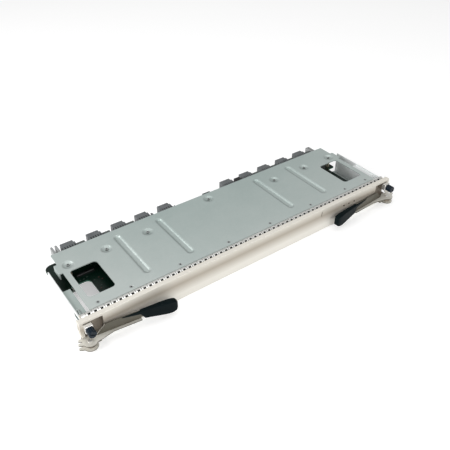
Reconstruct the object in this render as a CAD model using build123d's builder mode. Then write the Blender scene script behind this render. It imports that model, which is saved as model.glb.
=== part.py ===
from build123d import *
from math import cos, radians, sin
import os

os.makedirs("parts", exist_ok=True)

# Switch fabric module: a wide, flat plug-in tray that hangs in a chassis.
# X runs along the front panel, Y runs from the front panel to the backplane side,
# Z is up, and the origin is the middle of the tray's underside.

# Driving sizes, in millimetres
panel_length = 610.0
panel_height = 45.0
panel_sheet = 1.5
front_y = -76.0
top_lip = 7.5
top_flange = 32.0
bottom_flange = 16.0
end_flange = 10.0

cover_inset = 17.0
cover_front = 16.0
cover_rear = 157.0
cover_sheet = 1.5

tray_inset = 6.0
tray_sheet = 1.5
tray_wall_height = 42.0
tray_wall_rear = 126.0
tray_rear = 152.0
tray_rear_inset = 14.0
tray_strip = 13.5
strip_drop = 2.5
tray_strip_rear = 76.0
nut_notch_rear = 32.0
nut_notch_half = 4.2
tray_opening_rear = 127.0

slot_pitch = 44.0
board_top = 25.0
board_thickness = 2.4
board_rear = 160.0
board_front = 36.0

bead_depth = 1.7
bead_width = 9.4
bead_front = 36.5
bead_rear = 140.5
bead_rows = (-178.5, -102.2, 102.2, 178.5)

seat_radius = 7.2
seat_floor_radius = 3.6
end_seat_inset = 13.6
seat_row = 121.0
middle_seat_row = 141.0
inner_seats = (-205.1, -131.9, 131.9, 205.1)

edge_screw_depth = 23.1
end_screw_inset = 15.9
inner_edge_screws = (-214.2, -131.6, -41.9, 41.9, 131.6, 214.2)

window_margin = 9.0
window_length = 43.0
window_front = 38.5
window_rear = 106.0
window_radius = 6.0

pocket_inset = 5.0
pocket_width = 29.0
pocket_bottom = 3.0
pocket_top = 41.0
claw_notch_top = 16.6
bracket_floor = 10.0
bracket_wall = 1.5

pivot_inset = 8.0
pivot_front = 8.0
pin_radius = 2.0
pin_head_radius = 3.5
pin_head = 1.2
lever_sheet = 1.5
lever_angles = {-1: 6.4, 1: 3.7}
arm_extra = {-1: 0.0, 1: 7.0}
lower_plate_bottom = 4.0
upper_plate_bottom = 12.5
arm_top = 29.0
plate_radius = 10.5
plate_gap = 0.3
ear_radius = 6.0
web_offset = 5.2
arm_flange = 3.6
grip_start = 54.0
grip_body = 77.0
grip_end = 133.5
grip_bottom = 8.5
grip_skin = 0.8
nose_low = 23.5
tang_end = 112.0

screw_inset = 10.6
screw_height = 33.6
screw_radius = 2.0
shaft_radius = 1.4
screw_travel = 5.0
screw_tip = 27.0
ferrule_size = 12.0
ferrule_depth = 7.0
knob_radius = 5.9
knob_length = 11.5
knob_face = 3.0
washer_radius = 2.8
washer_thickness = 1.0

# Named clearances
slide_gap = 0.3
running_gap = 0.05

# Places that follow from the sizes
half_panel = panel_length / 2
half_tray = half_panel - tray_inset
half_cover = half_tray - cover_inset
window_outer = half_cover - window_margin
window_inner = window_outer - window_length
pocket_outer = half_panel - pocket_inset
pocket_inner = pocket_outer - pocket_width
pivot_out = half_panel - pivot_inset
screw_out = half_panel - screw_inset
end_seat = half_cover - end_seat_inset
end_screw = half_cover - end_screw_inset
seats = [(x, seat_row) for x in (-end_seat, *inner_seats, end_seat)] + [(0.0, middle_seat_row)]
edge_screw_rows = (-end_screw, *inner_edge_screws, end_screw)
cover_top = panel_height
cover_under = cover_top - cover_sheet
flange_under = cover_under - panel_sheet
strip_top = tray_wall_height - strip_drop
board_under = board_top - board_thickness
seat_under = cover_under - bead_depth
upper_plate_top = upper_plate_bottom + lever_sheet
web_back = web_offset + lever_sheet
grip_back = web_back + grip_skin
pivot_y = front_y - pivot_front


def depth(v):
    """Y of a place that lies v behind the panel's front face."""
    return front_y + v


def finish(piece, name):
    piece.part.label = name
    export_step(piece.part, f"parts/{name}.step")


def slab(x0, x1, v0, v1):
    """Rectangle on the ground plan between two X values and two depths."""
    with Locations(((x0 + x1) / 2, depth((v0 + v1) / 2))):
        Rectangle(abs(x1 - x0), abs(v1 - v0))


def block(x0, x1, v0, v1, z0, z1, mode=Mode.ADD):
    """Upright block between two X values, two depths and two heights."""
    with BuildSketch(Plane.XY.offset(z0)) as plan:
        slab(x0, x1, v0, v1)
    extrude(plan.sketch, amount=z1 - z0, mode=mode)


def side_name(side):
    return "left" if side < 0 else "right"


# Bottom tray: flat sheet with two air openings and cut-back rear corners
with BuildPart() as bottom_tray:
    with BuildSketch():
        slab(-half_tray, half_tray, panel_sheet, tray_wall_rear)
        slab(tray_rear_inset - half_tray, half_tray - tray_rear_inset, tray_wall_rear, tray_rear)
    extrude(amount=tray_sheet)
    for side in (-1, 1):
        # Air opening under the cover's window, which leaves the end post's footing
        with BuildSketch() as air_opening:
            slab(side * (window_inner - 8), side * (window_outer + 5), window_front - 2, window_rear + 2)
            slab(side * (window_inner - 8), side * (end_seat - 8), window_rear + 2, tray_opening_rear)
            fillet(air_opening.vertices(), window_radius / 2)
        extrude(air_opening.sketch, amount=tray_sheet, mode=Mode.SUBTRACT)
finish(bottom_tray, "bottom_tray")

# Side walls on the tray's short edges, each with an inward strip near its top
for side in (-1, 1):
    with BuildPart() as wall:
        block(side * (half_tray - tray_sheet), side * half_tray,
              bracket_floor + bracket_wall, tray_wall_rear, tray_sheet, tray_wall_height)
        block(side * (half_tray - tray_strip), side * half_tray, bottom_flange, tray_strip_rear,
              strip_top - tray_sheet, strip_top)
        for row in (3.8, 7.4):
            block(side * (half_tray - row - 0.7), side * (half_tray - row + 0.7), 20.0, 32.0,
                  strip_top - tray_sheet, strip_top, mode=Mode.SUBTRACT)
        # Clear way for the chassis nut that the captive screw enters
        block(side * (half_tray - tray_sheet), side * half_tray, bracket_floor, nut_notch_rear,
              screw_height - nut_notch_half, screw_height + nut_notch_half, mode=Mode.SUBTRACT)
    finish(wall, f"{side_name(side)}_tray_wall")

# Front panel: face sheet with top, bottom and end flanges, pockets and small openings
light_rows = (190.9, 203.1, 216.3)
light_height = 31.4
light_radius = 1.6
slot_x = 137.5
slot_height = 35.5
with BuildPart() as front_panel:
    block(-half_panel, half_panel, 0, panel_sheet, 0, panel_height)
    block(-half_panel, half_panel, panel_sheet, top_lip, cover_under, panel_height)
    block(-half_panel, half_panel, top_lip - panel_sheet, top_lip, flange_under, panel_height)
    block(-half_tray, half_tray, top_lip, bottom_flange, flange_under, cover_under)
    block(1 - half_cover, half_cover - 1, bottom_flange, top_flange, flange_under, cover_under)
    block(-half_tray + tray_sheet, half_tray - tray_sheet, panel_sheet, bottom_flange,
          tray_sheet, tray_sheet + panel_sheet)
    for side in (-1, 1):
        block(side * (half_panel - panel_sheet), side * half_panel, panel_sheet, end_flange,
              tray_sheet, panel_height - panel_sheet)
        block(side * pocket_inner, side * pocket_outer, 0, panel_sheet, pocket_bottom, pocket_top,
              mode=Mode.SUBTRACT)
        block(side * pocket_outer, side * half_panel, 0, end_flange, pocket_bottom, claw_notch_top,
              mode=Mode.SUBTRACT)
    with Locations(*[Location((x, depth(edge_screw_depth), cover_under)) for x in edge_screw_rows]):
        Hole(1.5, depth=panel_sheet)
    with BuildSketch(Plane.XZ.offset(-front_y)):
        with Locations(*[(x, light_height) for x in light_rows]):
            Circle(light_radius)
        with Locations((slot_x, slot_height)):
            SlotOverall(11.0, 1.6, rotation=90)
    extrude(amount=-panel_sheet, mode=Mode.SUBTRACT)
    fillet(front_panel.edges().filter_by(Axis.X).filter_by(
        lambda e: abs(e.center().Y - front_y) < 0.01 and e.length > panel_length - 1), 1.0)
finish(front_panel, "front_panel")

# Spring finger gasket: an arched strip along the panel's top lip, slit into fingers
finger_pitch = 9.525
finger_gap = 0.7
finger_length = 6.4
finger_notch = 4.2
notch_depth = 2.8
gasket_sheet = 0.25
gasket_front = top_lip + 0.1
gasket_rear = cover_front - 0.1
gasket_rise = 2.6
gasket_knee = 1.2
gasket_shoulder = 3.0
gasket_half = half_panel - 8
# The sheet's inner edge dips below its outer one, so the foot starts a little higher
gasket_foot = cover_under + 0.8 * gasket_sheet
gasket_bend = cover_under + 0.7 * gasket_rise
finger_count = int(2 * gasket_half / finger_pitch)
with BuildPart() as gasket:
    with BuildSketch(Plane.YZ.offset(-gasket_half)):
        with BuildLine():
            arch = Polyline((depth(gasket_front), gasket_foot),
                            (depth(gasket_front + gasket_knee), gasket_bend),
                            (depth(gasket_front + gasket_shoulder), cover_under + gasket_rise),
                            (depth(gasket_rear - gasket_shoulder), cover_under + gasket_rise),
                            (depth(gasket_rear - gasket_knee), gasket_bend),
                            (depth(gasket_rear), gasket_foot))
            offset(arch, amount=gasket_sheet, side=Side.RIGHT)
        make_face()
    extrude(amount=2 * gasket_half)
    with BuildSketch(Plane.XY.offset(cover_under - gasket_rise)):
        with GridLocations(finger_pitch, 1, finger_count, 1):
            with Locations((0, depth(gasket_front))):
                Rectangle(finger_gap, 2 * finger_length)
            with Locations((finger_pitch / 2, depth(gasket_front))):
                Rectangle(finger_notch, 2 * notch_depth)
    extrude(amount=3 * gasket_rise, mode=Mode.SUBTRACT)
finish(gasket, "finger_gasket")

# Top cover: flat sheet with four pressed beads, seven screw seats and two windows
tab_reach = 5.5
tab_front = 108.0
tab_rear = 130.0
tab_bottom = 34.0
seat_slope = 60
with BuildPart() as top_cover:
    with BuildSketch(Plane.XY.offset(cover_under)):
        slab(-half_cover, half_cover, cover_front, cover_rear)
        for side in (-1, 1):
            with Locations((side * (window_inner + window_outer) / 2,
                            depth((window_front + window_rear) / 2))):
                RectangleRounded(window_outer - window_inner, window_rear - window_front,
                                 window_radius, mode=Mode.SUBTRACT)
    extrude(amount=cover_sheet)
    # Pressed beads, sunk into the sheet and standing out of its underside
    bead_middle = depth((bead_front + bead_rear) / 2)
    with BuildSketch(Plane.XY.offset(cover_under)):
        with Locations(*[(x, bead_middle) for x in bead_rows]):
            SlotOverall(bead_rear - bead_front + 1.2, bead_width + 1.2, rotation=90)
    extrude(amount=-bead_depth, taper=45)
    with BuildSketch(Plane.XY.offset(cover_top)):
        with Locations(*[(x, bead_middle) for x in bead_rows]):
            SlotOverall(bead_rear - bead_front, bead_width, rotation=90)
    extrude(amount=-bead_depth, taper=45, mode=Mode.SUBTRACT)
    # Screw seats, dished by the same depth
    with BuildSketch(Plane.XY.offset(cover_under)):
        with Locations(*[(x, depth(v)) for x, v in seats]):
            Circle(seat_radius + 0.6)
    extrude(amount=-bead_depth, taper=seat_slope)
    with BuildSketch(Plane.XY.offset(cover_top)):
        with Locations(*[(x, depth(v)) for x, v in seats]):
            Circle(seat_radius)
    extrude(amount=-bead_depth, taper=seat_slope, mode=Mode.SUBTRACT)
    with Locations(*[Location((x, depth(v), cover_top)) for x, v in seats]):
        Hole(1.6, depth=cover_top - seat_under)
    with Locations(*[Location((x, depth(edge_screw_depth), cover_top)) for x in edge_screw_rows]):
        CounterSinkHole(radius=1.6, counter_sink_radius=3.0, depth=cover_sheet, counter_sink_angle=90)
    # Folded tabs at the two short edges
    for side in (-1, 1):
        block(side * half_cover, side * (half_cover + tab_reach), tab_front, tab_rear, cover_under, cover_top)
        block(side * (half_cover + tab_reach - cover_sheet), side * (half_cover + tab_reach),
              tab_front, tab_rear, tab_bottom, cover_under)
    fillet(top_cover.edges().filter_by(Axis.Z).filter_by(
        lambda e: abs(abs(e.center().X) - half_cover) < 0.1
        and min(abs(e.center().Y - depth(cover_rear)), abs(e.center().Y - depth(cover_front))) < 0.1), 2.0)
finish(top_cover, "top_cover")

# Circuit board with its ear at the left end
ear_out = 3.0 - half_tray
ear_front = 85.0
step_x = -half_cover + 3.0
step_v = 95.0
step_radius = 8.0
board_left = -half_cover + 33.5
board_right = half_cover - 20.0
board_right_rear = half_cover - 4.0
with BuildPart() as circuit_board:
    with BuildSketch(Plane.XY.offset(board_under)) as outline:
        slab(board_left, board_right, board_front, board_rear)
        slab(board_right, board_right_rear, window_rear + 6, board_rear)
        slab(step_x, board_left, step_v, board_rear)
        slab(ear_out, step_x, ear_front, board_rear)
        corners = outline.vertices()
        step_corner = corners.sort_by_distance((board_left, depth(step_v)))[0]
        rear_corners = corners.filter_by(lambda p: p.Y > depth(board_rear) - 1)
        fillet([p for p in corners if p not in rear_corners and p is not step_corner], 2.5)
        fillet(outline.vertices().sort_by_distance((board_left, depth(step_v)))[0], step_radius)
        fillet(outline.vertices().sort_by_distance((board_right_rear, depth(board_rear)))[0], 6.0)
        fillet(outline.vertices().sort_by_distance((ear_out, depth(board_rear)))[0], 12.0)
    extrude(amount=board_thickness)
    with Locations(*[Location((x, depth(v), board_top)) for x, v in seats]):
        Hole(1.8, depth=board_thickness)
finish(circuit_board, "circuit_board")

# Posts under the board and posts between board and cover, one pair at each screw seat
post_radius = 3.5
stud_radius = 1.75
with BuildPart() as floor_posts:
    for x, v in seats:
        with BuildSketch(Plane.XY.offset(tray_sheet)):
            with Locations((x, depth(v))):
                Circle(post_radius)
        extrude(amount=board_under - tray_sheet)
        with Locations(Location((x, depth(v), board_under))):
            Hole(stud_radius, depth=4.5)
finish(floor_posts, "floor_posts")

with BuildPart() as cover_posts:
    for x, v in seats:
        with BuildSketch(Plane.XY.offset(board_top)):
            with Locations((x, depth(v))):
                RegularPolygon(post_radius, 6)
        extrude(amount=seat_under - board_top)
        with BuildSketch(Plane.XY.offset(board_top)):
            with Locations((x, depth(v))):
                Circle(stud_radius)
        extrude(amount=-board_thickness - 4.0)
        with Locations(Location((x, depth(v), seat_under))):
            Hole(1.5, depth=7.0)
finish(cover_posts, "cover_posts")

# Screws in the seats: pan heads just under the cover's surface
with BuildPart() as seat_screws:
    for x, v in seats:
        with BuildSketch(Plane.XY.offset(seat_under)):
            with Locations((x, depth(v))):
                Circle(1.5)
        extrude(amount=-6.0)
        with BuildSketch(Plane.XY.offset(seat_under)):
            with Locations((x, depth(v))):
                Circle(1.5)
        extrude(amount=cover_sheet)
        with BuildSketch(Plane.XY.offset(seat_under + cover_sheet)):
            with Locations((x, depth(v))):
                Circle(seat_floor_radius - 0.8)
        extrude(amount=bead_depth - 0.1, taper=12)
finish(seat_screws, "seat_screws")

# Flush screws along the cover's front edge
with BuildPart() as edge_screws:
    for x in edge_screw_rows:
        with BuildSketch(Plane.XY.offset(cover_top - 0.05)):
            with Locations((x, depth(edge_screw_depth))):
                Circle(2.9)
        extrude(amount=-1.35, taper=45)
        with BuildSketch(Plane.XY.offset(cover_under + 0.2)):
            with Locations((x, depth(edge_screw_depth))):
                Circle(1.45)
        extrude(amount=-4.5)
finish(edge_screws, "edge_screws")

# Backplane connectors on the board's rear edge
connector_first = -262.5
comb_width = 31.0
comb_front = 138.0
comb_rear = 163.0
wafer_rear = 166.5
housing_offset = 3.2
housing_width = 23.0
housing_rear = 177.0
connector_top = 42.0
connector_under = 22.0
wafers = 8
wafer_gap = 1.9


def fabric_connector(index):
    left = connector_first + slot_pitch * index
    name = f"fabric_connector_{index + 1:02d}"
    with BuildPart() as connector:
        block(left, left + comb_width, comb_front, comb_rear, board_top, connector_top - 0.4)
        x0 = left + housing_offset
        block(x0, x0 + housing_width, board_rear, housing_rear, connector_under, connector_top)
        # Gaps between the wafers
        with BuildSketch(Plane.XY.offset(connector_top)):
            with Locations((left + comb_width / 2, depth((comb_front + wafer_rear) / 2))):
                with GridLocations(comb_width / (wafers - 0.5), 1, wafers - 1, 1):
                    Rectangle(wafer_gap, wafer_rear - comb_front)
        extrude(amount=-9.0, mode=Mode.SUBTRACT)
        # Contact slots in the mating face
        with BuildSketch(Plane.XZ.offset(-depth(housing_rear))):
            with Locations((x0 + housing_width / 2, (connector_under + connector_top) / 2)):
                with GridLocations(2.8, 8.4, 7, 2):
                    Rectangle(1.3, 7.0)
        extrude(amount=3.0, mode=Mode.SUBTRACT)
        # Lead-in step at the housing's right rear corner
        block(x0 + housing_width - 2.0, x0 + housing_width, housing_rear - 5.0, housing_rear,
              connector_top - 6.0, connector_top, mode=Mode.SUBTRACT)
    finish(connector, name)


for index in (0, 1, 2, 3, 4, 7, 8, 9, 10, 11):
    fabric_connector(index)

# Low side connectors, each tucked beside a tall one
side_left = 0.4
side_room = 3.6
side_width = slot_pitch - comb_width - side_left - side_room
tongue_gap = 0.8
side_front = 141.0
side_rear = 168.0
side_top = connector_top - 1.2


def side_connector(index):
    tall_left = connector_first + slot_pitch * index
    left = tall_left + comb_width + side_left
    tongue = tall_left + housing_offset + housing_width + tongue_gap
    name = f"side_connector_{index + 1:02d}"
    with BuildPart() as connector:
        block(left, left + side_width, side_front, side_rear, board_top, side_top)
        block(tongue, left + side_width, comb_rear + 0.4, side_rear,
              connector_under + 1.0, side_top)
        with BuildSketch(Plane.XZ.offset(-depth(side_rear))):
            with Locations(((tongue + left + side_width) / 2, (connector_under + side_top) / 2)):
                with GridLocations(3.4, 1, 3, 1):
                    Rectangle(1.6, 11.0)
        extrude(amount=3.0, mode=Mode.SUBTRACT)
        chamfer(connector.faces().sort_by(Axis.Z)[-1].edges().filter_by(Axis.X), 0.8)
    finish(connector, name)


for index in (0, 1, 2, 8, 9, 10, 11):
    side_connector(index)

# Power block beside the eighth connector, and the two plain sockets in the middle
power_left = connector_first + slot_pitch * 7 + comb_width + side_left
power_room = 1.0
power_width = slot_pitch - comb_width - side_left - power_room
power_wall = 1.8
power_slot = 3.0
power_rear = 171.0
with BuildPart() as power_block:
    power_right = power_left + power_width
    block(power_left, power_right, side_front, power_rear, board_top, connector_top)
    block(power_left, power_right, board_rear + 1.0, power_rear, connector_under + 1.0, board_top)
    with BuildSketch(Plane.XZ.offset(-depth(power_rear))):
        with Locations(((power_left + power_right) / 2, (connector_under + connector_top) / 2)):
            with GridLocations(power_width - 2 * power_wall - power_slot, 1, 2, 1):
                RectangleRounded(power_slot, 13.0, 0.6)
    extrude(amount=5.0, mode=Mode.SUBTRACT)
finish(power_block, "power_block")

socket_front = 146.0
socket_spans = (("management_socket_1", -53.0, -36.0, 161.0), ("management_socket_2", 2.7, 18.0, 165.0))
for name, x0, x1, rear in socket_spans:
    with BuildPart() as socket:
        block(x0, x1, socket_front, rear, board_top, connector_top - 1.0)
        with BuildSketch(Plane.XZ.offset(-depth(rear))):
            with Locations(((x0 + x1) / 2, (board_top + connector_top) / 2)):
                with GridLocations(3.2, 6.0, 4, 2):
                    Rectangle(1.4, 4.0)
        extrude(amount=4.0, mode=Mode.SUBTRACT)
    finish(socket, name)

# Keyed pin beside the fourth connector
key_half = 3.5
key_gap = 0.1
key_height = 34.0
key_x = connector_first + slot_pitch * 3 + comb_width + key_gap + key_half
with BuildPart() as key_pin:
    block(key_x - key_half, key_x + key_half, 146.0, board_rear + 4, board_top, connector_top - 4)
    with BuildSketch(Plane.XZ.offset(-depth(board_rear + 4))):
        with Locations((key_x, key_height)):
            Circle(2.2)
    extrude(amount=-8.0)
    with BuildSketch(Plane.XZ.offset(-depth(board_rear + 12))):
        with Locations((key_x, key_height)):
            Circle(2.2)
    extrude(amount=-4.0, taper=18)
finish(key_pin, "key_pin")

# Guide blocks at the two ends of the connector row
guide_lead = 3.0
guide_rear = housing_rear + guide_lead
prong = 3.8
guide_gap = 0.9
left_guide_right = connector_first - guide_gap
right_guide_left = connector_first + slot_pitch * 11 + comb_width + side_left + side_width + 0.3
guides = (("left_guide", left_guide_right - 11.0, left_guide_right),
          ("right_guide", right_guide_left, right_guide_left + 9.0))
for name, x0, x1 in guides:
    with BuildPart() as guide:
        block(x0, x1, side_front + 3, board_rear + 2, board_top, connector_top - 1)
        block(x0, x1, board_rear, board_rear + 2, connector_under + 1, board_top)
        for root in (x0, x1 - prong):
            block(root, root + prong, board_rear, guide_rear, connector_under + 1, connector_top - 1)
        fillet(guide.edges().filter_by(Axis.Z).filter_by(
            lambda e: e.center().Y > depth(guide_rear) - 0.1), 1.2)
    finish(guide, name)

# Parts on the board: two switching chips under finned heat sinks, and two power converters
chip_size = 38.0
chip_height = 3.2
sink_length = 62.0
sink_width = 70.0
sink_base = 3.0
sink_top = seat_under - 0.8
fins = 14
fin_thickness = 1.2
chip_depth = 88.0
chips = (("left_chip", "left_heat_sink", -66.0), ("right_chip", "right_heat_sink", 66.0))
for chip_name, sink_name, x in chips:
    with BuildPart() as chip:
        block(x - chip_size / 2, x + chip_size / 2, chip_depth - chip_size / 2,
              chip_depth + chip_size / 2, board_top, board_top + chip_height)
    finish(chip, chip_name)
    with BuildPart() as sink:
        block(x - sink_width / 2, x + sink_width / 2, chip_depth - sink_length / 2,
              chip_depth + sink_length / 2, board_top + chip_height,
              board_top + chip_height + sink_base)
        with BuildSketch(Plane.XY.offset(board_top + chip_height + sink_base)):
            with Locations((x, depth(chip_depth))):
                with GridLocations((sink_width - fin_thickness) / (fins - 1), 1, fins, 1):
                    Rectangle(fin_thickness, sink_length)
        extrude(amount=sink_top - board_top - chip_height - sink_base)
    finish(sink, sink_name)

converter_height = 11.5
converter_width = 36.0
converter_front = 60.0
converter_length = 57.0
for name, x in (("left_converter", -152.0), ("right_converter", 152.0)):
    with BuildPart() as converter:
        block(x - converter_width / 2, x + converter_width / 2, converter_front,
              converter_front + converter_length, board_top, board_top + converter_height)
        chamfer(converter.faces().sort_by(Axis.Z)[-1].edges(), 1.0)
    finish(converter, name)

# Rounded stiffening bar on the board's ear, seen through the left window
bar_inner = -233.0
bar_outer = -262.5
bar_v = 110.0
bar_width = 4.4
bar_height = 3.6
with BuildPart() as stiffener:
    with BuildSketch(Plane.XY.offset(board_top)):
        with Locations(((bar_inner + bar_outer) / 2, depth(bar_v))):
            SlotOverall(bar_inner - bar_outer, bar_width)
    extrude(amount=bar_height)
    fillet(stiffener.faces().sort_by(Axis.Z)[-1].edges(), 1.6)
finish(stiffener, "stiffener_bar")

# Light pipe: three rods to the panel's openings, joined over the board's front edge
with BuildPart() as light_pipe:
    with BuildSketch(Plane.XZ.offset(-depth(0.0))):
        with Locations(*[(x, light_height) for x in light_rows]):
            Circle(light_radius - running_gap)
    extrude(amount=-(board_front + 4))
    block(light_rows[0] - 3, light_rows[-1] + 3, board_front + 2, board_front + 9, board_top, light_height + 3)
finish(light_pipe, "light_pipe")

# Ends of the panel: bracket with the pivot ear, pin, lever, grip, ferrule, screw, knob, washer


def lever_plane(side, height):
    """Plane at the pivot whose x runs along the arm, away from the panel's end."""
    swing = radians(lever_angles[side])
    return Plane(origin=(side * pivot_out, pivot_y, height),
                 x_dir=(-side * cos(swing), -sin(swing), 0), z_dir=(0, 0, 1))


def arm_plane(side):
    """Upright plane through the pivot: x runs along the arm and y is the height."""
    flat = lever_plane(side, 0)
    return Plane(origin=flat.origin, x_dir=flat.x_dir, z_dir=flat.x_dir.cross(Vector(0, 0, 1)))


def end_bracket(side):
    with BuildPart() as bracket:
        floor_back = bracket_floor + bracket_wall
        block(side * (pocket_inner - bracket_wall), side * (half_panel - panel_sheet - 0.1),
              bracket_floor, floor_back, tray_sheet + panel_sheet, flange_under)
        block(side * (pocket_inner - bracket_wall), side * pocket_inner, panel_sheet, bracket_floor,
              tray_sheet + panel_sheet, flange_under)
        block(side * pocket_inner, side * (half_panel - panel_sheet - 0.1), top_lip, bracket_floor,
              pocket_top, flange_under)
        # Opening in the pocket's floor, at its upper inner corner
        block(side * (pocket_inner + 1), side * (pocket_inner + 10), bracket_floor, floor_back,
              pocket_top - 11, pocket_top - 1, mode=Mode.SUBTRACT)
        # Corner left free for the screw block
        block(side * (screw_out - ferrule_size / 2), side * half_panel, bracket_floor, floor_back,
              screw_height - ferrule_size / 2, flange_under, mode=Mode.SUBTRACT)
        # Ear between the lever's two plates
        ear_low = lower_plate_bottom + lever_sheet + plate_gap
        with BuildSketch(Plane.XY.offset(ear_low)):
            with Locations((side * pivot_out, pivot_y)):
                Circle(ear_radius)
            slab(side * (pivot_out - ear_radius), side * (pivot_out + ear_radius), -pivot_front,
                 bracket_floor)
        extrude(amount=upper_plate_bottom - plate_gap - ear_low)
        with Locations(Location((side * pivot_out, pivot_y, upper_plate_bottom))):
            Hole(pin_radius, depth=upper_plate_bottom)
    finish(bracket, f"{side_name(side)}_bracket")


def screw_block(side):
    """Block behind the ferrule that guides the captive screw."""
    with BuildPart() as guide_block:
        block(side * (screw_out - ferrule_size / 2), side * (pocket_outer - 0.2), 0,
              bracket_floor + bracket_wall, screw_height - ferrule_size / 2, screw_height + ferrule_size / 2)
        with BuildSketch(screw_plane(side, 0)):
            Circle(screw_radius + slide_gap)
        extrude(amount=bracket_floor + bracket_wall, mode=Mode.SUBTRACT)
    finish(guide_block, f"{side_name(side)}_screw_block")


def pivot_pin(side):
    with BuildPart() as pin:
        foot = lower_plate_bottom - plate_gap
        head = upper_plate_top + plate_gap
        with BuildSketch(Plane.XY.offset(foot)):
            with Locations((side * pivot_out, pivot_y)):
                Circle(pin_radius)
        extrude(amount=head - foot)
        for base, reach in ((foot, -pin_head), (head, pin_head)):
            with BuildSketch(Plane.XY.offset(base)):
                with Locations((side * pivot_out, pivot_y)):
                    Circle(pin_head_radius)
            extrude(amount=reach)
        fillet(pin.faces().sort_by(Axis.Z)[-1].edges(), 0.4)
    finish(pin, f"{side_name(side)}_pivot_pin")


def lever_plate(side, height, arm):
    """One pivot plate: a disc with two claw fingers, and its lobe or flange along the arm."""
    m = -side
    with BuildSketch(lever_plane(side, height)) as plate:
        Circle(plate_radius)
        with BuildLine():
            Polyline((-4.0, m * 9.0), (-13.5, m * 9.8), (-15.0, m * 6.4), (-9.0, m * 3.2),
                     (-16.4, m * 2.4), (-16.8, m * -1.2), (-8.0, m * -4.5), (-4.0, m * 9.0))
        make_face()
        with BuildLine():
            Polyline((0.0, m * web_back), (arm, m * web_back), (arm, m * (web_offset - arm_flange)),
                     (min(0.7 * arm, 35.0), m * (web_offset - arm_flange)), (8.0, m * -6.4), (0, 0),
                     (0.0, m * web_back))
        make_face()
        Circle(pin_radius + running_gap, mode=Mode.SUBTRACT)
    extrude(plate.sketch, amount=lever_sheet)


def arm_strip(side, x0, x1, y0, y1, z0, z1, mode=Mode.ADD):
    """Block in the lever's own directions: along the arm, towards the panel, and up."""
    m = -side
    with BuildSketch(lever_plane(side, z0)) as strip:
        with Locations(((x0 + x1) / 2, m * (y0 + y1) / 2)):
            Rectangle(x1 - x0, y1 - y0)
    extrude(strip.sketch, amount=z1 - z0, mode=mode)


web_root = 12.0
web_full = 25.0
tang_low = upper_plate_top + 2.0
tang_top = arm_top - 2.5


def ejector_lever(side):
    with BuildPart() as lever:
        # Upright web, trimmed to its slanted root and its narrower tang
        body = grip_body + arm_extra[side]
        tang = tang_end + arm_extra[side]
        arm_strip(side, web_root, tang, web_offset, web_back, 0, arm_top)
        with BuildSketch(arm_plane(side)):
            with BuildLine():
                Polyline((web_root, upper_plate_bottom), (web_root, upper_plate_top + 2), (web_full, arm_top),
                         (body, arm_top), (body, tang_top), (tang, tang_top),
                         (tang, tang_low), (body, tang_low), (body, upper_plate_bottom),
                         close=True)
            make_face()
        extrude(amount=2 * pivot_front, both=True, mode=Mode.INTERSECT)
        # Bend that joins the two plates
        arm_strip(side, 8.6, 15.5, web_offset, web_back, lower_plate_bottom, upper_plate_bottom)
        lever_plate(side, upper_plate_bottom, body)
        lever_plate(side, lower_plate_bottom, 15.5)
    finish(lever, f"{side_name(side)}_lever")


def lever_grip(side):
    m = -side
    start = grip_start + arm_extra[side]
    body = grip_body + arm_extra[side]
    end = grip_end + arm_extra[side]
    tang = tang_end + arm_extra[side]
    with BuildPart() as grip:
        # Plan outline: a wedge on the web's front, then a body that thickens to its round end
        with BuildSketch(lever_plane(side, 0)):
            with BuildLine():
                Polyline((start, m * web_offset), (body, m * 3.0), (end - 6, m * -2.6),
                         (end - 1.5, m * -1.6), (end, m * 1.0), (end, m * 5.0),
                         (end - 1.5, m * (grip_back - 0.6)), (end - 4.0, m * grip_back),
                         (body, m * grip_back), (body, m * web_offset), close=True)
            make_face()
        extrude(amount=arm_top + 1)
        # Side outline: slim nose, then a step down to a paddle with a round end
        with BuildSketch(arm_plane(side)) as silhouette:
            with BuildLine():
                Polyline((start, arm_top + 0.4), (start, arm_top - 1.4), (body, nose_low),
                         (body, upper_plate_top), (end - 18, grip_bottom), (end, grip_bottom),
                         (end, arm_top - 1.0), (end - 24, arm_top + 0.4), close=True)
            make_face()
            fillet(silhouette.vertices().sort_by_distance((end, grip_bottom))[0], 8.5)
            fillet(silhouette.vertices().sort_by_distance((end, arm_top - 1.0))[0], 7.0)
        extrude(amount=4 * pivot_front, both=True, mode=Mode.INTERSECT)
        arm_strip(side, body, tang, web_offset, web_back, tang_low, tang_top, mode=Mode.SUBTRACT)
    finish(grip, f"{side_name(side)}_grip")


def ferrule(side):
    with BuildPart() as sleeve:
        with BuildSketch(Plane.XZ.offset(-front_y)):
            with Locations((side * screw_out, screw_height)):
                RectangleRounded(ferrule_size, ferrule_size, 0.8)
        extrude(amount=ferrule_depth)
        with BuildSketch(screw_plane(side, -ferrule_depth)):
            Circle(screw_radius + slide_gap)
        extrude(amount=ferrule_depth, mode=Mode.SUBTRACT)
        chamfer(sleeve.faces().sort_by(Axis.Y)[0].outer_wire().edges(), 0.6)
    finish(sleeve, f"{side_name(side)}_ferrule")


def screw_plane(side, v):
    """Plane across the captive screw at a depth, facing the chassis."""
    return Plane(origin=(side * screw_out, depth(v), screw_height), x_dir=(-1, 0, 0), z_dir=(0, 1, 0))


knob_back = -ferrule_depth - slide_gap
knob_front = knob_back - knob_length
washer_front = bracket_floor + bracket_wall + slide_gap + screw_travel
thread_start = washer_front + washer_thickness + slide_gap


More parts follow.
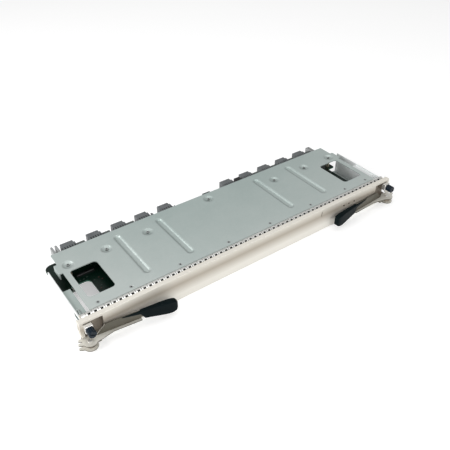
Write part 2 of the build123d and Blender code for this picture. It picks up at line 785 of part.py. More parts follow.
def captive_screw(side):
    with BuildPart() as screw:
        with BuildSketch(screw_plane(side, knob_front + knob_face)):
            Circle(shaft_radius)
        extrude(amount=thread_start - knob_front - knob_face)
        with BuildSketch(screw_plane(side, thread_start)):
            Circle(screw_radius)
        extrude(amount=screw_tip - thread_start)
        chamfer(screw.faces().sort_by(Axis.Y)[-1].edges(), 0.6)
    finish(screw, f"{side_name(side)}_captive_screw")


def knob(side):
    with BuildPart() as cap:
        with BuildSketch(screw_plane(side, knob_front)):
            Circle(knob_radius)
        extrude(amount=knob_length)
        chamfer(cap.faces().sort_by(Axis.Y)[0].edges(), 0.9)
        # Grip flutes round the rim
        with BuildSketch(screw_plane(side, knob_front)):
            with PolarLocations(knob_radius + 0.45, 14):
                Circle(0.85)
        extrude(amount=knob_length - 2.0, mode=Mode.SUBTRACT)
        # Driver slot in the front
        with BuildSketch(screw_plane(side, knob_front)):
            Rectangle(8.6, 1.4, rotation=30)
        extrude(amount=1.8, mode=Mode.SUBTRACT)
        with BuildSketch(screw_plane(side, knob_front + knob_face)):
            Circle(shaft_radius)
        extrude(amount=knob_length, mode=Mode.SUBTRACT)
    finish(cap, f"{side_name(side)}_knob")


def retaining_washer(side):
    with BuildPart() as washer:
        with BuildSketch(screw_plane(side, washer_front)):
            Circle(washer_radius)
            Circle(shaft_radius + running_gap, mode=Mode.SUBTRACT)
        extrude(amount=washer_thickness)
    finish(washer, f"{side_name(side)}_washer")


for side in (-1, 1):
    end_bracket(side)
    screw_block(side)
    pivot_pin(side)
    ejector_lever(side)
    lever_grip(side)
    ferrule(side)
    captive_screw(side)
    knob(side)
    retaining_washer(side)
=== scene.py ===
# %% [markdown]
# A switch fabric module, dressed for its portrait
#
# The module is a wide, flat tray that slides into a network chassis. Its solids come packed as a
# frame: every sheet, connector and lever is already at its real size. This lesson gives each surface
# its finish, adds the small things that only the eye needs, and lights it on a pale floor.

# %% Load the frame
import math

import bmesh
import bpy
from mathutils import Matrix, Vector


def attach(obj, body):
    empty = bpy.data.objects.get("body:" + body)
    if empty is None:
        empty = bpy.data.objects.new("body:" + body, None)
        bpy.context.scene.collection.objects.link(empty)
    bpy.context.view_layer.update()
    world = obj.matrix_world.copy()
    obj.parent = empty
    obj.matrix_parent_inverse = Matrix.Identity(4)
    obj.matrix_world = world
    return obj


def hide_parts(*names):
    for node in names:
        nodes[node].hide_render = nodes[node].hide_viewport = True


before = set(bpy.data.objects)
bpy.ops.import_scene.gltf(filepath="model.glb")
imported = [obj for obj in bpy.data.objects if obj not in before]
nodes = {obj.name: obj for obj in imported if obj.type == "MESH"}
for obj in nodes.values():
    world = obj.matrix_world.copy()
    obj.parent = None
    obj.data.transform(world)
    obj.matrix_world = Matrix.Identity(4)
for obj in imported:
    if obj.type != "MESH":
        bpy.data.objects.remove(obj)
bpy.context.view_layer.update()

MM = 0.001
print("pieces in the frame:", len(nodes))

# %% [markdown]
# Shader sums read better as plain arithmetic. A small class wraps a node's output socket, and each
# operator adds the Math node that does it. Two helpers on a material's node tree make every other
# kind of node, so a finish can be written in a few lines.

# %% Sockets that can be added and multiplied
class Value:
    """A socket that takes part in arithmetic; each operation adds one Math node."""

    def __init__(self, tree, socket):
        self.tree = tree
        self.socket = socket

    def math(self, operation, other=None, swap=False):
        node = self.tree.nodes.new("ShaderNodeMath")
        node.operation = operation
        terms = [self] if other is None else ([other, self] if swap else [self, other])
        for index, term in enumerate(terms):
            if isinstance(term, Value):
                self.tree.links.new(term.socket, node.inputs[index])
            else:
                node.inputs[index].default_value = term
        return Value(self.tree, node.outputs[0])

    def __add__(self, other):
        return self.math("ADD", other)

    __radd__ = __add__

    def __mul__(self, other):
        return self.math("MULTIPLY", other)

    __rmul__ = __mul__

    def __sub__(self, other):
        return self.math("SUBTRACT", other)

    def __rsub__(self, other):
        return self.math("SUBTRACT", other, swap=True)

    def __truediv__(self, other):
        return self.math("DIVIDE", other)

    def least(self, other):
        return self.math("MINIMUM", other)

    def size(self):
        return self.math("ABSOLUTE")

    def above(self, edge):
        return self.math("GREATER_THAN", edge)

    def clamp(self):
        held = self.math("MAXIMUM", 0.0)
        return held.math("MINIMUM", 1.0)

    def repeat(self, step):
        """Distance from the last multiple of step, from 0 to 1."""
        return (self / step).math("FRACT")


class Finish:
    """One material and its node tree."""

    def __init__(self, name, color, metallic=0.0, roughness=0.5, **sockets):
        self.material = bpy.data.materials.new(name)
        self.material.use_nodes = True
        self.tree = self.material.node_tree
        self.shader = self.tree.nodes["Principled BSDF"]
        self.put("Base Color", (*color, 1.0))
        self.put("Metallic", metallic)
        self.put("Roughness", roughness)
        for key, value in sockets.items():
            self.put(key.replace("_", " "), value)
        self.place = self.node("ShaderNodeTexCoord").outputs["Object"]

    def put(self, socket, value):
        if isinstance(value, Value):
            self.tree.links.new(value.socket, self.shader.inputs[socket])
        elif isinstance(value, bpy.types.NodeSocket):
            self.tree.links.new(value, self.shader.inputs[socket])
        else:
            self.shader.inputs[socket].default_value = value

    def node(self, kind, settings=None, **inputs):
        """Any node by its type, with its settings first and then the values or links of its sockets."""
        made = self.tree.nodes.new(kind)
        for key, value in (settings or {}).items():
            setattr(made, key, value)
        for key, value in inputs.items():
            name = key.replace("_", " ")
            socket = value.socket if isinstance(value, Value) else value
            if isinstance(socket, bpy.types.NodeSocket):
                self.tree.links.new(socket, made.inputs[name])
            else:
                made.inputs[name].default_value = socket
        return made

    def axis(self, letter):
        """One coordinate of the place, in metres."""
        split = self.node("ShaderNodeSeparateXYZ", Vector=self.place)
        return Value(self.tree, split.outputs[letter])

    def stretched(self, x, y, z):
        """The place, drawn out or squeezed along each axis."""
        mapping = self.node("ShaderNodeMapping", Vector=self.place, Scale=(x, y, z))
        return mapping.outputs["Vector"]

    def noise(self, scale, detail=2.0, vector=None, roughness=0.5):
        made = self.node("ShaderNodeTexNoise", Vector=vector or self.place, Scale=scale,
                         Detail=detail, Roughness=roughness)
        return Value(self.tree, made.outputs["Fac"])

    def cells(self, scale, vector=None):
        made = self.node("ShaderNodeTexVoronoi", Vector=vector or self.place, Scale=scale)
        split = self.node("ShaderNodeSeparateColor", Color=made.outputs["Color"])
        return Value(self.tree, split.outputs[0])

    def blend(self, factor, first, second):
        """A colour between two, by a factor from 0 to 1."""
        made = self.node("ShaderNodeMix", {"data_type": "RGBA"})
        self.tree.links.new(factor.socket, made.inputs[0])
        for index, color in ((6, first), (7, second)):
            if isinstance(color, bpy.types.NodeSocket):
                self.tree.links.new(color, made.inputs[index])
            else:
                made.inputs[index].default_value = (*color, 1.0)
        return made.outputs[2]

    def bump(self, height, distance, strength=1.0):
        made = self.node("ShaderNodeBump", Height=height, Distance=distance, Strength=strength)
        self.put("Normal", made.outputs["Normal"])


def dress(finish, *names):
    """Gives a finish to nodes of the frame."""
    for name in names:
        slots = nodes[name].data.materials
        slots.clear()
        slots.append(finish.material)
        for face in nodes[name].data.polygons:
            face.material_index = 0


# %% [markdown]
# The cover is zinc-plated sheet. Up close it has a faint patchwork of grey-green crystals and long,
# soft rolling streaks. The tone adds up a broad noise, small cells and a noise drawn out along X, and
# slow slopes add painted shade towards its rear and painted light towards both ends. A pressed
# bead never has a sharp rim: the sheet rolls over its edge in a soft shoulder. The solid has the bead,
# and a bump that falls off with the distance from its rim gives it that shoulder.

# %% Zinc sheet of the cover
cover = Finish("zinc_cover", (0.5, 0.56, 0.54), metallic=0.55, roughness=0.42)
patches = cover.noise(22.0, 3.0)
streaks = cover.noise(60.0, 2.0, cover.stretched(0.12, 1.0, 1.0))
crystals = cover.cells(240.0)
# Painted light and shade: the tone slopes darker towards the rear and paler towards both ends.
rear_painted_shade = ((cover.axis("Y") + 0.06) / 0.14).clamp()
left_end_painted_light = ((-0.10 - cover.axis("X")) / 0.20).clamp()
right_end_painted_light = ((cover.axis("X") - 0.12) / 0.16).clamp()
tone = 0.44 + 0.16 * patches + 0.08 * streaks + 0.05 * crystals
tone = (tone - 0.22 * rear_painted_shade + 0.30 * left_end_painted_light + 0.14 * right_end_painted_light).clamp()
cover.put("Base Color", cover.blend(tone, (0.33, 0.43, 0.41), (0.62, 0.66, 0.64)))
cover.put("Roughness", 0.36 + 0.12 * patches)

# Places and sizes of the beads and seats, in millimetres
bead_rows = (102.2, 178.5)
bead_middle, bead_half_run, bead_radius = 12.5, 47.3, 4.7
seat_rows = (131.9, 205.1, 268.4)
seat_line, middle_seat_line, seat_radius = 45.0, 65.0, 7.2
shoulder, shoulder_depth = 3.2, 1.4


def beyond_rim(x, y, radius):
    """Distance outside a round rim, in metres, from the offsets to its middle."""
    return (x * x + y * y).math("SQRT") - radius * MM


side_x = cover.axis("X").size()
bead_x = (side_x - bead_rows[0] * MM).size().least((side_x - bead_rows[1] * MM).size())
bead_y = ((cover.axis("Y") - bead_middle * MM).size() - bead_half_run * MM).math("MAXIMUM", 0.0)
bead_rim = beyond_rim(bead_x, bead_y, bead_radius)
seat_x = (side_x - seat_rows[0] * MM).size().least((side_x - seat_rows[1] * MM).size())
seat_x = seat_x.least((side_x - seat_rows[2] * MM).size())
end_rim = beyond_rim(seat_x, cover.axis("Y") - seat_line * MM, seat_radius)
middle_rim = beyond_rim(side_x, cover.axis("Y") - middle_seat_line * MM, seat_radius)
rim = (bead_rim.least(end_rim.least(middle_rim)) / (shoulder * MM)).clamp()
drop = (1.0 - rim) * (1.0 - rim)
relief = (0.02 * streaks + 0.014 * crystals) - drop
cover.bump(relief, shoulder_depth * MM, 1.0)
dress(cover, "top_cover")
print("beads and seats with rounded shoulders:", 2 * len(bead_rows) + 2 * len(seat_rows) + 1)

# %% [markdown]
# The tray is the same kind of sheet. Its floor has darker greys than its walls, painted shade for the depth
# under the board and cover, and the upward faces of the left wall's strip have the cover's grey, also
# painted shade. The panel is a satin, warm silver coat over brushed sheet. The brushing runs along its
# length, and a soft band above mid height is a painted reflection: darker and warmer, like dark
# surroundings mirrored.

# %% Tray, panel and finger gasket
tray = Finish("zinc_tray_painted_shade", (0.80, 0.83, 0.81), metallic=0.35, roughness=0.40)
tray_spots = tray.cells(200.0)
tray_cloud = tray.noise(18.0, 3.0)
# Painted shade: the floor's two darker greys stand for the shade deep in the tray under the board and
# cover.
tray.put("Base Color", tray.blend((0.5 * tray_spots + 0.5 * tray_cloud).clamp(),
                                  (0.36, 0.40, 0.39), (0.50, 0.54, 0.53)))
tray.bump(tray_cloud, 0.00005, 0.3)
dress(tray, "bottom_tray")

wall = Finish("zinc_wall", (0.86, 0.88, 0.87), metallic=0.25, roughness=0.42)
# Painted shade: upward faces of the left wall below its top edge take the darker strip tone, the rest the
# pale side tone.
left_strip_painted_shade = wall.node("ShaderNodeSeparateXYZ", Vector=wall.node("ShaderNodeNewGeometry").outputs["Normal"])
left_strip_painted_shade = Value(wall.tree, left_strip_painted_shade.outputs["Z"]).above(0.5) * (0.0 - wall.axis("X")).above(0.0)
below_wall_top = 40.8
left_strip_painted_shade = left_strip_painted_shade * (below_wall_top * MM - wall.axis("Z")).above(0.0)
wall_cloud = wall.noise(24.0, 3.0)
strip_painted_shade_tone = wall.blend(wall_cloud, (0.30, 0.36, 0.34), (0.46, 0.52, 0.50))
side_tone = wall.blend(wall_cloud, (0.74, 0.77, 0.76), (0.84, 0.86, 0.86))
wall.put("Base Color", wall.blend(left_strip_painted_shade, side_tone, strip_painted_shade_tone))
wall.bump(wall_cloud, 0.00005, 0.3)
dress(wall, "left_tray_wall", "right_tray_wall")

panel = Finish("warm_silver_panel", (0.80, 0.78, 0.70), metallic=0.2, roughness=0.5, Specular_IOR_Level=0.3)
brushing = panel.noise(900.0, 2.0, panel.stretched(0.02, 1.0, 1.0))
panel_cloud = panel.noise(9.0, 2.0)
satin = panel.blend((0.5 * panel_cloud + 0.4 * brushing).clamp(), (0.78, 0.75, 0.68), (0.90, 0.88, 0.82))
# Painted reflection: a soft band above mid height is darker and warmer, standing for dark surroundings
# mirrored in the satin coat.
reflection_band_height, reflection_band_half_width = 31.0, 19.0
painted_reflection_band = (1.0 - ((panel.axis("Z") - reflection_band_height * MM).size() / (reflection_band_half_width * MM))).clamp()
panel.put("Base Color", panel.blend(0.85 * painted_reflection_band, satin, (0.38, 0.33, 0.26)))
panel.put("Roughness", 0.44 + 0.14 * brushing)
panel.bump(brushing, 0.00002, 0.4)
dress(panel, "front_panel")

gasket = Finish("spring_metal", (0.82, 0.82, 0.79), metallic=0.7, roughness=0.28)
gasket_cloud = gasket.noise(80.0, 2.0)
gasket.put("Base Color", gasket.blend(gasket_cloud, (0.60, 0.60, 0.57), (0.86, 0.86, 0.84)))
gasket.put("Roughness", 0.22 + 0.12 * gasket_cloud)
dress(gasket, "finger_gasket")

# %% [markdown]
# The board is laminate under dark green lacquer. Fine copper tracks lie under the lacquer and lift it
# a little, so the tracks are both slightly lighter and slightly raised. The lacquer stops at the cut
# edges, where the paler laminate shows.

# %% Lacquered board
board = Finish("green_lacquer", (0.002, 0.010, 0.006), roughness=0.30, Specular_IOR_Level=0.3)
track_x = board.axis("X").repeat(0.0021)
track_y = board.axis("Y").repeat(0.0027)
regions = board.cells(45.0)
along_x = (track_y.above(0.62)) * regions.above(0.5)
along_y = (track_x.above(0.66)) * (1.0 - regions.above(0.5))
tracks = (along_x + along_y).clamp()
board_up = board.node("ShaderNodeSeparateXYZ", Vector=board.node("ShaderNodeNewGeometry").outputs["Normal"])
edge_on = (0.5 - Value(board.tree, board_up.outputs["Z"]).size()).above(0.0)
lacquer = board.blend(tracks, (0.001, 0.005, 0.003), (0.003, 0.020, 0.012))
board.put("Base Color", board.blend(edge_on, lacquer, (0.05, 0.15, 0.10)))
board.bump(tracks, 0.00003, 0.5)
dress(board, "circuit_board")

# %% [markdown]
# Every moulded part has its own plastic: the tall connectors are a cool dark grey, and the low ones are
# darker and greener. Moulded plastic is never quite even, so a fine noise moves its roughness and lifts
# its surface a hair.

# %% Plastics
def plastic(name, dark, light, roughness, grain=1400.0, lift=0.00003, **more):
    made = Finish(name, dark, roughness=roughness, **more)
    cloud = made.noise(70.0, 3.0)
    speck = made.noise(grain, 2.0)
    made.put("Base Color", made.blend(cloud, dark, light))
    made.put("Roughness", (roughness - 0.08) + 0.16 * speck)
    made.bump(speck, lift, 0.35)
    return made


connector_grey = plastic("connector_grey", (0.085, 0.092, 0.095), (0.150, 0.160, 0.165), 0.46,
                         Specular_IOR_Level=0.3)
connector_green = plastic("connector_green", (0.060, 0.072, 0.068), (0.115, 0.130, 0.124), 0.44,
                          Specular_IOR_Level=0.3)
block_black = plastic("block_black", (0.004, 0.0045, 0.005), (0.012, 0.012, 0.012), 0.38,
                      Specular_IOR_Level=0.35)
grip_teal = plastic("grip_teal", (0.0002, 0.0026, 0.0034), (0.0006, 0.0062, 0.0076), 0.46, grain=900.0,
                    lift=0.00006, Specular_IOR_Level=0.07)
knob_teal = plastic("knob_teal", (0.0005, 0.004, 0.009), (0.002, 0.011, 0.022), 0.26,
                    Specular_IOR_Level=0.25)
smoke = plastic("smoke_rod", (0.012, 0.011, 0.008), (0.03, 0.027, 0.018), 0.22)
tall = [name for name in nodes if name.startswith("fabric_connector")]
low = [name for name in nodes if name.startswith(("side_connector", "management_socket"))]
dress(connector_grey, *tall, "key_pin")
dress(connector_green, *low)
dress(block_black, "power_block", "left_chip", "right_chip", "left_converter", "right_converter",
      "stiffener_bar")
dress(knob_teal, "left_knob", "right_knob")
dress(smoke, "light_pipe")

# %% [markdown]
# The remaining metals differ in how they were made: the lever is pressed and plated, the brackets are
# cast and stay matt and brownish, and the pins, ferrules and captive screws are bright.

# %% Metals
def metal(name, dark, light, metallic, roughness, scale=120.0, lift=0.00003):
    made = Finish(name, dark, metallic=metallic, roughness=roughness)
    cloud = made.noise(scale, 3.0)
    made.put("Base Color", made.blend(cloud, dark, light))
    made.put("Roughness", (roughness - 0.06) + 0.12 * cloud)
    made.bump(made.noise(scale * 12.0, 2.0), lift, 0.3)
    return made


lever_steel = Finish("lever_steel", (0.60, 0.58, 0.52), metallic=0.35, roughness=0.42)
lever_cloud = lever_steel.noise(120.0, 3.0)
grain = lever_steel.noise(1500.0, 2.0)
# Painted reflection: upright faces and the web's top edge get a near-black tone for dark surroundings
# mirrored in the plated steel; flat faces keep the pale steel.
facing = lever_steel.node("ShaderNodeNewGeometry").outputs["Normal"]
web_painted_reflection = lever_steel.node("ShaderNodeSeparateXYZ", Vector=facing).outputs["Z"]
web_painted_reflection = (0.5 - Value(lever_steel.tree, web_painted_reflection).size()).above(0.0)
web_top = 28.5
top_edge_painted_dark = (lever_steel.axis("Z") - web_top * MM).above(0.0)
web_painted_reflection = (web_painted_reflection + top_edge_painted_dark).clamp()
flat_tone = lever_steel.blend(lever_cloud, (0.62, 0.60, 0.54), (0.80, 0.78, 0.72))
web_painted_reflection_tone = lever_steel.blend((0.6 * lever_cloud + 0.4 * grain).clamp(),
                             (0.060, 0.055, 0.040), (0.135, 0.125, 0.095))
lever_steel.put("Base Color", lever_steel.blend(web_painted_reflection, flat_tone, web_painted_reflection_tone))
lever_steel.put("Roughness", 0.34 + 0.16 * grain)
lever_steel.bump(grain, 0.00003, 0.3)
casting = metal("brown_casting", (0.25, 0.215, 0.175), (0.35, 0.305, 0.255), 0.5, 0.55, lift=0.00006)
bright = metal("bright_turned", (0.74, 0.73, 0.70), (0.88, 0.87, 0.85), 0.75, 0.26)
guide_grey = metal("guide_grey", (0.26, 0.27, 0.27), (0.40, 0.41, 0.41), 0.3, 0.45)
fin_metal = metal("fin_metal", (0.62, 0.63, 0.65), (0.76, 0.77, 0.79), 0.7, 0.35)
post_metal = metal("post_metal", (0.62, 0.58, 0.42), (0.76, 0.72, 0.55), 0.8, 0.3)
zinc_screw = Finish("zinc_screw", (0.5, 0.5, 0.5), metallic=0.6, roughness=0.34)
head_cloud = zinc_screw.noise(400.0, 2.0)
painted_shade_top = 44.6
# Painted shade: everything below this height, the driver's recess and the head's sides and shank, is near
# black.
recess = (painted_shade_top * MM - zinc_screw.axis("Z")).above(0.0)
head_tone = zinc_screw.blend(head_cloud, (0.34, 0.37, 0.36), (0.50, 0.53, 0.52))
zinc_screw.put("Base Color", zinc_screw.blend(recess, head_tone, (0.006, 0.006, 0.006)))
zinc_screw.put("Roughness", 0.30 + 0.14 * head_cloud)
# Near-black painted shade for the gap under the gasket's fingers.
painted_shade_strip = plastic("painted_shade_strip", (0.010, 0.011, 0.011), (0.028, 0.028, 0.028), 0.50)
gold_contact = metal("gold_contact", (0.62, 0.46, 0.18), (0.80, 0.62, 0.30), 0.85, 0.28)
for side in ("left", "right"):
    dress(lever_steel, side + "_lever")
    dress(casting, side + "_bracket", side + "_screw_block")
    dress(bright, side + "_pivot_pin", side + "_ferrule", side + "_captive_screw", side + "_washer")
    dress(guide_grey, side + "_guide")
    dress(fin_metal, side + "_heat_sink")
dress(post_metal, "floor_posts", "cover_posts")

# %% [markdown]
# From here on come the small pieces that the solids leave plain. They are all made in the same manner:
# a primitive is added, faces are picked by where they lie or which way they face, and operators push
# and pull them. A copy has its own mesh, and every finished piece ends at the origin, unturned.

# %% Helpers for modelling
def deselect():
    bpy.ops.object.select_all(action="DESELECT")


def pick(piece, rule, points=False):
    """In edit mode, selects the faces (or points) whose place and normal pass the rule."""
    bpy.ops.mesh.select_mode(type="VERT" if points else "FACE")
    bpy.ops.mesh.select_all(action="DESELECT")
    mesh = bmesh.from_edit_mesh(piece.data)
    for part in (mesh.verts if points else mesh.faces):
        place = part.co if points else part.calc_center_median()
        if rule(place, part.normal):
            part.select_set(True)
    mesh.select_flush_mode()
    bmesh.update_edit_mesh(piece.data)


def pull(x=0.0, y=0.0, z=0.0):
    bpy.ops.mesh.extrude_region_move(TRANSFORM_OT_translate={"value": (x * MM, y * MM, z * MM)})


def settle(piece, name, finish, body, stands_for=()):
    """Leaves a finished piece at the origin, with its finish, body and replaced nodes."""
    deselect()
    piece.select_set(True)
    bpy.context.view_layer.objects.active = piece
    bpy.ops.object.transform_apply(location=True, rotation=True, scale=True)
    bpy.ops.object.mode_set(mode="EDIT")
    bpy.ops.mesh.select_all(action="SELECT")
    bpy.ops.mesh.normals_make_consistent(inside=False)
    bpy.ops.object.mode_set(mode="OBJECT")
    bpy.ops.object.shade_smooth_by_angle(angle=math.radians(35))
    piece.name = name
    piece.data.name = name
    piece.data.materials.clear()
    piece.data.materials.append(finish.material)
    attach(piece, body)
    if stands_for:
        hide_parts(*stands_for)
    print(name, len(piece.data.polygons), "faces")


def scatter(model, places):
    """Copies a model to every place, in millimetres, and joins the copies."""
    copies = []
    for place in places:
        copy = model.copy()
        copy.data = model.data.copy()
        copy.location = Vector(place) * MM
        bpy.context.collection.objects.link(copy)
        copies.append(copy)
    bpy.data.objects.remove(model)
    deselect()
    for copy in copies:
        copy.select_set(True)
    bpy.context.view_layer.objects.active = copies[0]
    bpy.ops.object.join()
    return bpy.context.object


# %% [markdown]
# A viewer reads scale from screws. Each head starts as a cylinder. Its foot is scaled, inset and drawn
# out into the shank, and its top is inset. Every other part of the new ring is drawn inwards, which
# leaves six lobes, and the face inside it is pushed down as the driver's recess.

# %% Screws in the seats and along the front edge
def screw(radius, height, foot, shank, length, recess):
    """Screw with its top at the origin; sizes in millimetres."""
    deselect()
    bpy.ops.mesh.primitive_cylinder_add(vertices=36, radius=radius * MM, depth=height * MM,
                                        location=(0, 0, -height / 2 * MM))
    made = bpy.context.object
    bpy.ops.object.transform_apply(location=True)
    bpy.ops.object.mode_set(mode="EDIT")
    pick(made, lambda place, normal: normal.z < -0.9)
    bpy.ops.transform.resize(value=(foot / radius, foot / radius, 1))
    bpy.ops.mesh.inset(thickness=(foot - shank) * MM)
    pull(z=-length)
    pick(made, lambda place, normal: normal.z > 0.9)
    bpy.ops.mesh.inset(thickness=(radius - recess) * MM)
    limit = recess * MM * 1.02
    pick(made, lambda place, normal: place.z > -0.00001 and place.xy.length < limit
         and math.cos(6 * math.atan2(place.y, place.x)) < -0.1, points=True)
    bpy.ops.transform.resize(value=(0.72, 0.72, 1), center_override=(0, 0, 0))
    pick(made, lambda place, normal: normal.z > 0.9 and place.xy.length < 0.1 * limit)
    pull(z=-0.6 * height)
    bpy.ops.object.mode_set(mode="OBJECT")
    return made


front_y = -76.0
cover_top = 45.0
seat_screw_top = cover_top - 0.2
seat_places = [(x, seat_line, seat_screw_top)
               for x in sorted(side * x for x in seat_rows for side in (-1, 1))]
seat_places.append((0.0, middle_seat_line, seat_screw_top))
edge_rows = (41.9, 131.6, 214.2, 266.1)
edge_screw_v = 23.1
edge_places = [(x, front_y + edge_screw_v, cover_top - 0.05)
               for x in sorted(side * x for x in edge_rows for side in (-1, 1))]
pan_screw = screw(radius=2.8, height=1.5, foot=2.4, shank=1.5, length=6.0, recess=1.6)
settle(scatter(pan_screw, seat_places), "seat_screw_set", zinc_screw,
       "module", ["seat_screws"])
flush_screw = screw(radius=2.9, height=1.3, foot=1.6, shank=1.4, length=4.5, recess=1.6)
settle(scatter(flush_screw, edge_places), "edge_screw_set", zinc_screw,
       "module", ["edge_screws"])

# %% [markdown]
# A thin near-black strip under the spring fingers is painted shade for the shaded gap beneath them. Only
# the notches between the fingers show it, as a row of dark dashes. A plane gets rounded corners with a
# vertex bevel, and a small thickness.

# %% Painted shade strip under the finger gasket
shade_strip_length, shade_strip_width, shade_strip_thickness = 592.0, 4.4, 0.14
shade_strip_v, flange_top = 10.0, 43.52
deselect()
bpy.ops.mesh.primitive_plane_add(size=MM, location=(0, (front_y + shade_strip_v) * MM, flange_top * MM))
shade_strip = bpy.context.object
bpy.ops.object.mode_set(mode="EDIT")
bpy.ops.transform.resize(value=(shade_strip_length, shade_strip_width, 1))
bpy.ops.mesh.bevel(affect="VERTICES", offset=1.0 * MM, segments=4)
bpy.ops.mesh.select_all(action="SELECT")
pull(z=shade_strip_thickness)
bpy.ops.object.mode_set(mode="OBJECT")
settle(shade_strip, "gasket_painted_shade_strip", painted_shade_strip, "module")

# %% [markdown]
# A grip is moulded over the lever's tang. It begins as a thin nose along the web's top edge, swells into
# a collar, and grows into a flat paddle with a round end. A good way to make such a form is to draw it
# out station by station: extrude the end face, then set the new face to its size. A bevel keeps the
# edges firm, and a subdivision surface makes them soft.

# %% Moulded grips
# Each station: distance along the arm, back and front in plan, low and high
stations = ((49.0, 5.15, 4.5, 27.8, 29.4), (56.0, 5.15, 4.0, 26.6, 29.4), (75.5, 5.15, 2.7, 24.0, 29.4),
            (77.0, 7.5, 2.4, 22.5, 29.4), (81.5, 7.5, 1.6, 14.6, 29.4), (99.0, 7.5, -0.2, 11.6, 29.6),
            (114.0, 7.5, -2.0, 8.8, 29.6), (124.0, 7.4, -2.8, 8.6, 28.8), (129.5, 6.8, -2.0, 10.8, 26.8),
            (131.8, 5.4, 0.2, 13.8, 23.8))
pivot_out, pivot_front = 297.0, 8.0


def grip(side, swing, extra, name):
    """Grip on one lever: its side, its lever's angle at rest in degrees, and its shift along the arm."""
    deselect()
    bpy.ops.mesh.primitive_plane_add(size=MM, location=(0, 0, 0), rotation=(0, math.radians(90), 0))
    made = bpy.context.object
    bpy.ops.object.transform_apply(location=True, rotation=True)
    bpy.ops.object.mode_set(mode="EDIT")
    bpy.ops.mesh.select_all(action="SELECT")
    along, back, front, low, high = stations[0]
    bpy.ops.transform.resize(value=(1, back - front, high - low))
    bpy.ops.transform.translate(value=(along * MM, (back + front) / 2 * MM, (low + high) / 2 * MM))
    for last, here in zip(stations, stations[1:]):
        middle = Vector((here[0], (here[1] + here[2]) / 2, (here[3] + here[4]) / 2))
        move = middle - Vector((last[0], (last[1] + last[2]) / 2, (last[3] + last[4]) / 2))
        pull(*move)
        wider = (here[1] - here[2]) / (last[1] - last[2])
        higher = (here[4] - here[3]) / (last[4] - last[3])
        bpy.ops.transform.resize(value=(1, wider, higher), center_override=middle * MM)
    bpy.ops.mesh.select_all(action="SELECT")
    bpy.ops.mesh.normals_make_consistent(inside=False)
    bpy.ops.object.mode_set(mode="OBJECT")
    edge = made.modifiers.new("edge", "BEVEL")
    edge.width = 0.55 * MM
    edge.segments = 2
    edge.limit_method = "ANGLE"
    bpy.ops.object.modifier_apply(modifier="edge")
    soft = made.modifiers.new("soft", "SUBSURF")
    soft.levels = soft.render_levels = 2
    bpy.ops.object.modifier_apply(modifier="soft")
    turn = math.radians(swing)
    along_arm = Vector((-side * math.cos(turn), -math.sin(turn), 0))
    to_panel = Vector((-side * math.sin(turn), math.cos(turn), 0))
    pivot = Vector((side * pivot_out, front_y - pivot_front, 0)) * MM + along_arm * extra * MM
    made.matrix_world = Matrix.Translation(pivot) @ Matrix(
        (along_arm, to_panel, (0, 0, 1))).transposed().to_4x4()
    settle(made, name + "_moulded_grip", grip_teal, name + "_lever_body", [name + "_grip"])


grip(-1, 6.4, 0.0, "left")
grip(1, 3.7, 7.0, "right")

# %% [markdown]
# From behind, the tall connectors show two rows of slots with a gilt blade in each. One blade is a thin
# bar whose free end is drawn narrower, and it is copied into every slot.

# %% Contacts in the tall connectors
connector_first, slot_pitch, first_slot = -262.5, 44.0, 14.7
column_pitch, row_half_pitch = 2.8, 4.2
blade_v, blade_height = 174.7, 32.0
deselect()
bpy.ops.mesh.primitive_cube_add(size=MM, location=(0, 0, 0))
blade = bpy.context.object
bpy.ops.object.mode_set(mode="EDIT")
bpy.ops.transform.resize(value=(0.5, 1.2, 5.6))
pick(blade, lambda place, normal: normal.y > 0.9)
pull(y=0.9)
bpy.ops.transform.resize(value=(0.45, 1, 0.8))
bpy.ops.object.mode_set(mode="OBJECT")
blade_places = [(connector_first + slot_pitch * index + first_slot + column_pitch * column,
                 front_y + blade_v, blade_height + row_half_pitch * row)
                for index in (0, 1, 2, 3, 4, 7, 8, 9, 10, 11) for column in range(-3, 4) for row in (-1, 1)]
settle(scatter(blade, blade_places), "contact_blades", gold_contact, "module")

# %% [markdown]
# The cover's windows show small parts soldered to the board. One is a block whose ends are drawn out a
# little into its metal caps. The finish picks one of two colours by coarse cells, about twice as long
# as a part, so that most copies have one colour.

# %% Small parts on the board
part_finish = Finish("small_parts", (0.05, 0.08, 0.05), roughness=0.4, Specular_IOR_Level=0.3)
kind = part_finish.cells(180.0)
part_finish.put("Base Color", part_finish.blend(kind.above(0.5),
                                                (0.055, 0.030, 0.024), (0.035, 0.050, 0.042)))
part_finish.put("Roughness", 0.34 + 0.12 * part_finish.noise(900.0))
deselect()
bpy.ops.mesh.primitive_cube_add(size=MM, location=(0, 0, 0))
small = bpy.context.object
bpy.ops.object.mode_set(mode="EDIT")
bpy.ops.transform.resize(value=(1.6, 1.3, 0.9))
for way in (-1, 1):
    pick(small, lambda place, normal: normal.x * way > 0.9)
    bpy.ops.transform.resize(value=(1, 0.86, 0.86))
    pull(x=0.4 * way)
bpy.ops.object.mode_set(mode="OBJECT")
window_parts = ((243, 60), (243, 66), (240, 72), (236, 50), (236, 56), (240, 44), (262, 99), (256, 99),
                (250, 101), (233, 84), (236, 90), (244, 88))
small_height = 25.45
small_places = [(side * x, front_y + v, small_height) for side in (-1, 1) for x, v in window_parts]
settle(scatter(small, small_places), "small_board_parts", part_finish, "module")

# %% [markdown]
# The floor is a wide white sheet. It has to look as white as the page behind it and still hold the
# module's shadow. So it reflects some of the lamps' light, which a shadow can take away, and adds a
# steady glow for the camera and for mirror rays, which a shadow can't.

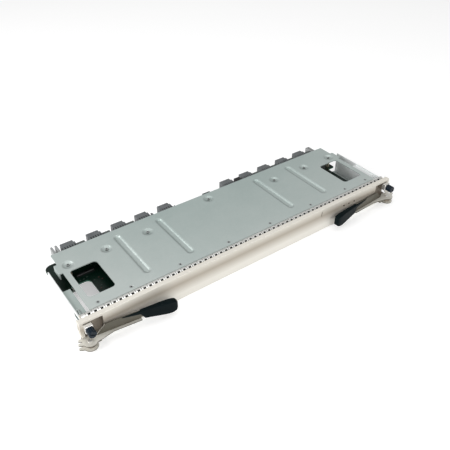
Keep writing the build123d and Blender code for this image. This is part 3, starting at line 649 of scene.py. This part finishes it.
# %% Floor
floor_size = 12.0
floor_glow = 0.42
deselect()
bpy.ops.mesh.primitive_plane_add(size=floor_size, location=(0, 0, -0.0002))
floor = bpy.context.object
floor.name = "floor"
paper = bpy.data.materials.new("paper")
paper.use_nodes = True
tree = paper.node_tree
matt = tree.nodes["Principled BSDF"]
matt.inputs["Base Color"].default_value = (0.74, 0.74, 0.74, 1.0)
matt.inputs["Roughness"].default_value = 1.0
matt.inputs["Specular IOR Level"].default_value = 0.0
ray = tree.nodes.new("ShaderNodeLightPath")
seen = Value(tree, ray.outputs["Is Camera Ray"]) + Value(tree, ray.outputs["Is Glossy Ray"])
seen = (seen + Value(tree, ray.outputs["Is Transmission Ray"])).clamp()
glow = seen * floor_glow
matt.inputs["Emission Color"].default_value = (1.0, 1.0, 1.0, 1.0)
tree.links.new(glow.socket, matt.inputs["Emission Strength"])
floor.data.materials.append(paper)

# %% [markdown]
# The world is white to the camera, and about half as bright as a light source. Three soft boxes shape
# the metal: a strong one on the left, which whitens the tray's side and one flank of each bead, a
# weaker one in front, and a dim one above.

# %% World and lamps
world = bpy.data.worlds.new("studio")
bpy.context.scene.world = world
world.use_nodes = True
tree = world.node_tree
sky = tree.nodes["Background"]
ray = tree.nodes.new("ShaderNodeLightPath")
level = 0.48
seen = Value(tree, ray.outputs["Is Camera Ray"])
strength = level + seen * (1.0 - level)
tree.links.new(strength.socket, sky.inputs["Strength"])
sky.inputs["Color"].default_value = (1.0, 1.0, 1.0, 1.0)


def soft_box(name, place, target, size, power):
    lamp = bpy.data.lights.new(name, "AREA")
    lamp.shape = "RECTANGLE"
    lamp.size, lamp.size_y = size
    lamp.energy = power
    box = bpy.data.objects.new(name, lamp)
    bpy.context.collection.objects.link(box)
    box.location = place
    box.rotation_mode = "QUATERNION"
    box.rotation_quaternion = (Vector(target) - Vector(place)).to_track_quat("-Z", "Y")
    return box


module_middle = (0, 0, 0.02)
soft_box("left_box", (-1.7, 0.3, 0.75), module_middle, (1.2, 0.8), 25.0)
soft_box("front_box", (-0.3, -1.7, 1.0), module_middle, (1.6, 0.8), 17.0)
soft_box("top_box", (0.3, 0.2, 2.0), module_middle, (1.6, 1.6), 7.0)

# %% [markdown]
# The camera stands where the photographer stood: in front, to the left and above. The place and the
# direction come from matching the module's corners, and the lens gives the same narrow view.

# %% Camera
camera_data = bpy.data.cameras.new("camera")
camera = bpy.data.objects.new("camera", camera_data)
bpy.context.collection.objects.link(camera)
forward = Vector((0.46402, 0.64764, -0.60436)).normalized()
upward = Vector((0.35548, 0.48877, 0.79670)).normalized()
sideways = forward.cross(upward).normalized()
upward = sideways.cross(forward)
turn = Matrix((sideways, upward, -forward)).transposed()
camera.matrix_world = Matrix.Translation(Vector((-443.41, -603.08, 595.13)) * MM) @ turn.to_4x4()
camera_data.sensor_width = 36.0
camera_data.lens = 44.57
camera_data.clip_start = 0.01
bpy.context.scene.camera = camera
bpy.context.scene.view_settings.view_transform = "Standard"
